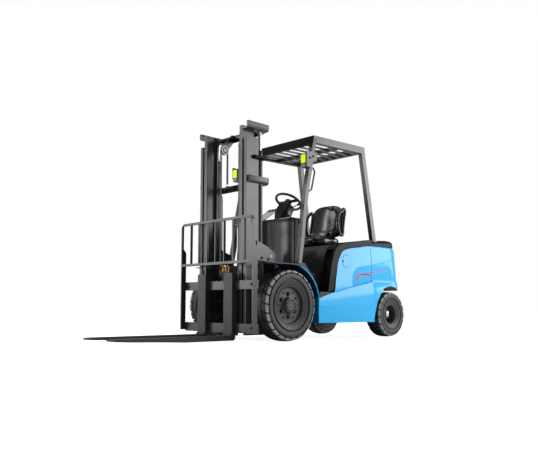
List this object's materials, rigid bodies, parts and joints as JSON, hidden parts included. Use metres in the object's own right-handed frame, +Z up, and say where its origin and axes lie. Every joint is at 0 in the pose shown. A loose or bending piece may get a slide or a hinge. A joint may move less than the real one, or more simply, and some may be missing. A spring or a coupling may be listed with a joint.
{
  "type": "electric counterbalance forklift truck",
  "caption": "Four-wheel electric counterbalance forklift with two-stage mast, sliding forks, overhead guard, seat and hood.",
  "frame": {"origin": "on the floor under the middle of the truck's overall box, forks included", "axes": "+X to the truck's left, -Y to its front where the forks are, +Z up"},
  "size_m": [1.206, 3.788, 2.168],
  "materials": {
    "body_blue": "satin",
    "dark_paint": "satin",
    "mast_grey": "satin",
    "counterweight_grey": "matte",
    "tyre_rubber": "matte",
    "rim_paint": "satin",
    "bare_steel": "satin",
    "cast_part": "matte",
    "fork_steel": "satin",
    "rod_chrome": "polished",
    "chain_steel": "satin",
    "trim_plastic": "matte",
    "cab_plastic": "matte",
    "seat_vinyl": "satin",
    "lamp_housing": "satin",
    "lens_clear": "glossy",
    "tail_red": "glossy",
    "battery_case": "matte"
  },
  "bodies": {
    "chassis": {"chassis_frame": "dark_paint", "battery": "battery_case", "floor_plate": "dark_paint", "fender_panels": "body_blue", "side_panels": "body_blue", "trim_bands": "trim_plastic", "counterweight": "counterweight_grey", "front_cowl": "cab_plastic", "steering_column": "cab_plastic", "control_levers": "cab_plastic", "pedals": "cab_plastic", "overhead_guard": "dark_paint", "head_lamps": "lamp_housing", "lamp_lenses": "lens_clear", "tail_lamps": "tail_red", "drive_axle": "cast_part", "steer_axle": "cast_part", "tilt_anchor_pins": "bare_steel"},
    "front_wheel_left": {"front_tyre_left": "tyre_rubber", "front_rim_left": "rim_paint"},
    "front_wheel_right": {"front_tyre_right": "tyre_rubber", "front_rim_right": "rim_paint"},
    "steer_left": {"steer_knuckle_left": "cast_part"},
    "steer_right": {"steer_knuckle_right": "cast_part"},
    "rear_wheel_left": {"rear_tyre_left": "tyre_rubber", "rear_rim_left": "rim_paint"},
    "rear_wheel_right": {"rear_tyre_right": "tyre_rubber", "rear_rim_right": "rim_paint"},
    "steer_cylinder_rod": {"steer_rod": "rod_chrome"},
    "mast": {"outer_mast": "mast_grey", "tilt_mast_pins": "bare_steel", "lift_barrels": "mast_grey", "anchor_chains": "chain_steel"},
    "inner_mast": {"inner_mast": "mast_grey", "lift_rods": "rod_chrome", "lift_chains": "chain_steel", "chain_turns": "chain_steel"},
    "carriage": {"carriage": "mast_grey", "load_backrest": "mast_grey"},
    "fork_left": {"fork_left": "fork_steel"},
    "fork_right": {"fork_right": "fork_steel"},
    "tilt_barrel_left": {"tilt_barrel_left": "mast_grey"},
    "tilt_barrel_right": {"tilt_barrel_right": "mast_grey"},
    "tilt_rod_left": {"tilt_rod_left": "rod_chrome"},
    "tilt_rod_right": {"tilt_rod_right": "rod_chrome"},
    "hood": {"hood": "body_blue", "seat_cushion": "seat_vinyl", "seat_back": "seat_vinyl"},
    "steering_wheel": {"steering_wheel": "cab_plastic"},
    "charge_flap": {"charge_flap": "body_blue"}
  },
  "joints": [
    {"name": "front_left_roll", "type": "hinge", "parent": "chassis", "child": "front_wheel_left", "pos_m": [0.486, -0.126, 0.352], "axis": [1, 0, 0], "continuous": true},
    {"name": "front_right_roll", "type": "hinge", "parent": "chassis", "child": "front_wheel_right", "pos_m": [-0.486, -0.126, 0.352], "axis": [1, 0, 0], "continuous": true},
    {"name": "steer_left", "type": "hinge", "parent": "chassis", "child": "steer_left", "pos_m": [0.347, 1.566, 0.257], "axis": [0, 0, 1], "range_deg": [-65, 65]},
    {"name": "steer_right", "type": "hinge", "parent": "chassis", "child": "steer_right", "pos_m": [-0.347, 1.566, 0.257], "axis": [0, 0, 1], "range_deg": [-65, 65]},
    {"name": "rear_left_roll", "type": "hinge", "parent": "steer_left", "child": "rear_wheel_left", "pos_m": [0.487, 1.566, 0.257], "axis": [1, 0, 0], "continuous": true},
    {"name": "rear_right_roll", "type": "hinge", "parent": "steer_right", "child": "rear_wheel_right", "pos_m": [-0.487, 1.566, 0.257], "axis": [1, 0, 0], "continuous": true},
    {"name": "steer_rod_slide", "type": "slide", "parent": "chassis", "child": "steer_cylinder_rod", "axis": [1, 0, 0], "range_m": [-0.07, 0.07]},
    {"name": "mast_tilt", "type": "hinge", "parent": "chassis", "child": "mast", "pos_m": [0, -0.126, 0.352], "axis": [-1, 0, 0], "range_deg": [-6, 12]},
    {"name": "mast_lift", "type": "slide", "parent": "mast", "child": "inner_mast", "axis": [0, 0, 1], "range_m": [0, 1.5]},
    {"name": "carriage_lift", "type": "slide", "parent": "inner_mast", "child": "carriage", "axis": [0, 0, 1], "range_m": [0, 1.5], "deforming": ["lift_chains"]},
    {"name": "fork_left_slide", "type": "slide", "parent": "carriage", "child": "fork_left", "axis": [1, 0, 0], "range_m": [-0.124, 0.276]},
    {"name": "fork_right_slide", "type": "slide", "parent": "carriage", "child": "fork_right", "axis": [1, 0, 0], "range_m": [-0.259, 0.141]},
    {"name": "tilt_barrel_left_swing", "type": "hinge", "parent": "chassis", "child": "tilt_barrel_left", "pos_m": [0.308, 0.204, 0.53], "axis": [-1, 0, 0], "range_deg": [-10, 10]},
    {"name": "tilt_barrel_right_swing", "type": "hinge", "parent": "chassis", "child": "tilt_barrel_right", "pos_m": [-0.308, 0.204, 0.53], "axis": [-1, 0, 0], "range_deg": [-10, 10]},
    {"name": "tilt_rod_left_slide", "type": "slide", "parent": "tilt_barrel_left", "child": "tilt_rod_left", "axis": [0, -0.7828, 0.6222], "range_m": [-0.08, 0.05]},
    {"name": "tilt_rod_right_slide", "type": "slide", "parent": "tilt_barrel_right", "child": "tilt_rod_right", "axis": [0, -0.7828, 0.6222], "range_m": [-0.08, 0.05]},
    {"name": "hood_open", "type": "hinge", "parent": "chassis", "child": "hood", "pos_m": [0, 1.216, 1.031], "axis": [-1, 0, 0], "range_deg": [0, 45]},
    {"name": "steering_wheel_turn", "type": "hinge", "parent": "chassis", "child": "steering_wheel", "pos_m": [0, 0.454, 1.508], "axis": [0, 0.5, 0.866], "continuous": true},
    {"name": "charge_flap_open", "type": "hinge", "parent": "chassis", "child": "charge_flap", "pos_m": [0.5574, 0.8443, 0.828], "axis": [-0.062, 0, 0.9981], "range_deg": [0, 100]}
  ],
  "couplings": [
    {"joint": "steer_right", "follows": "steer_left", "ratio": 1},
    {"joint": "steer_rod_slide", "follows": "steer_left", "m_per_rad": -0.058},
    {"joint": "carriage_lift", "follows": "mast_lift", "ratio": 1},
    {"joint": "tilt_barrel_left_swing", "follows": "mast_tilt", "ratio": 0.721},
    {"joint": "tilt_barrel_right_swing", "follows": "mast_tilt", "ratio": 0.721},
    {"joint": "tilt_rod_left_slide", "follows": "mast_tilt", "m_per_rad": -0.349},
    {"joint": "tilt_rod_right_slide", "follows": "mast_tilt", "m_per_rad": -0.349}
  ]
}
